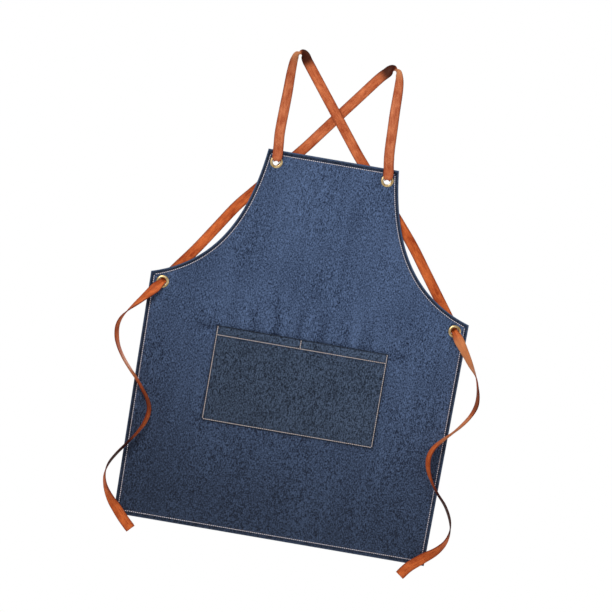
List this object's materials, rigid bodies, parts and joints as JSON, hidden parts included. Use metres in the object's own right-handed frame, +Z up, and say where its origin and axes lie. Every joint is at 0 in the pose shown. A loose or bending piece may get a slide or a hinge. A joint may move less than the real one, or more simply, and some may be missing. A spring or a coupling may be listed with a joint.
{
  "type": "bib apron",
  "caption": "Denim bib apron with a patch pocket, brass eyelets and crossed leather shoulder straps whose free ends hang from the waist as ties, shown hanging by its shoulder loops.",
  "frame": {"origin": "midway between the tops of the two shoulder loops, in the middle plane of the cloth; the apron hangs below it", "axes": "+Z up, -Y out of the front of the apron, +X to the right as seen from the front"},
  "size_m": [0.7872, 0.0428, 1.0677],
  "materials": {
    "denim": "washed indigo twill, matt",
    "pocket_denim": "greyer indigo twill, matt",
    "tan_thread": "tan sewing thread",
    "leather": "smooth tan leather with dark burnished edges",
    "strap_thread": "brown sewing thread",
    "brass": "polished pale brass"
  },
  "bodies": {
    "apron": {"denim_panel": "denim", "pocket": "pocket_denim", "eyelet_bib_left": "brass", "washer_bib_left": "brass", "eyelet_bib_right": "brass", "washer_bib_right": "brass", "eyelet_waist_left": "brass", "washer_waist_left": "brass", "eyelet_waist_right": "brass", "washer_waist_right": "brass", "shoulder_strap_left": "leather", "shoulder_strap_right": "leather", "thread_top": "tan_thread", "thread_armhole_left": "tan_thread", "thread_armhole_right": "tan_thread", "thread_side_left": "tan_thread", "thread_side_right": "tan_thread", "thread_bottom": "tan_thread", "thread_pocket_hem": "tan_thread", "thread_pocket_edge": "tan_thread", "thread_pocket_tack": "tan_thread", "box_stitch_left": "strap_thread", "box_stitch_right": "strap_thread"},
    "left_tie": {"tie_left": "leather"},
    "right_tie": {"tie_right": "leather"}
  },
  "joints": [
    {"name": "left_tie_swing", "type": "hinge", "parent": "apron", "child": "left_tie", "pos_m": [-0.3135, 0, -0.531], "axis": [0, 1, 0], "range_deg": [-20, 50]},
    {"name": "right_tie_swing", "type": "hinge", "parent": "apron", "child": "right_tie", "pos_m": [0.3135, 0, -0.531], "axis": [0, -1, 0], "range_deg": [-20, 50]}
  ]
}
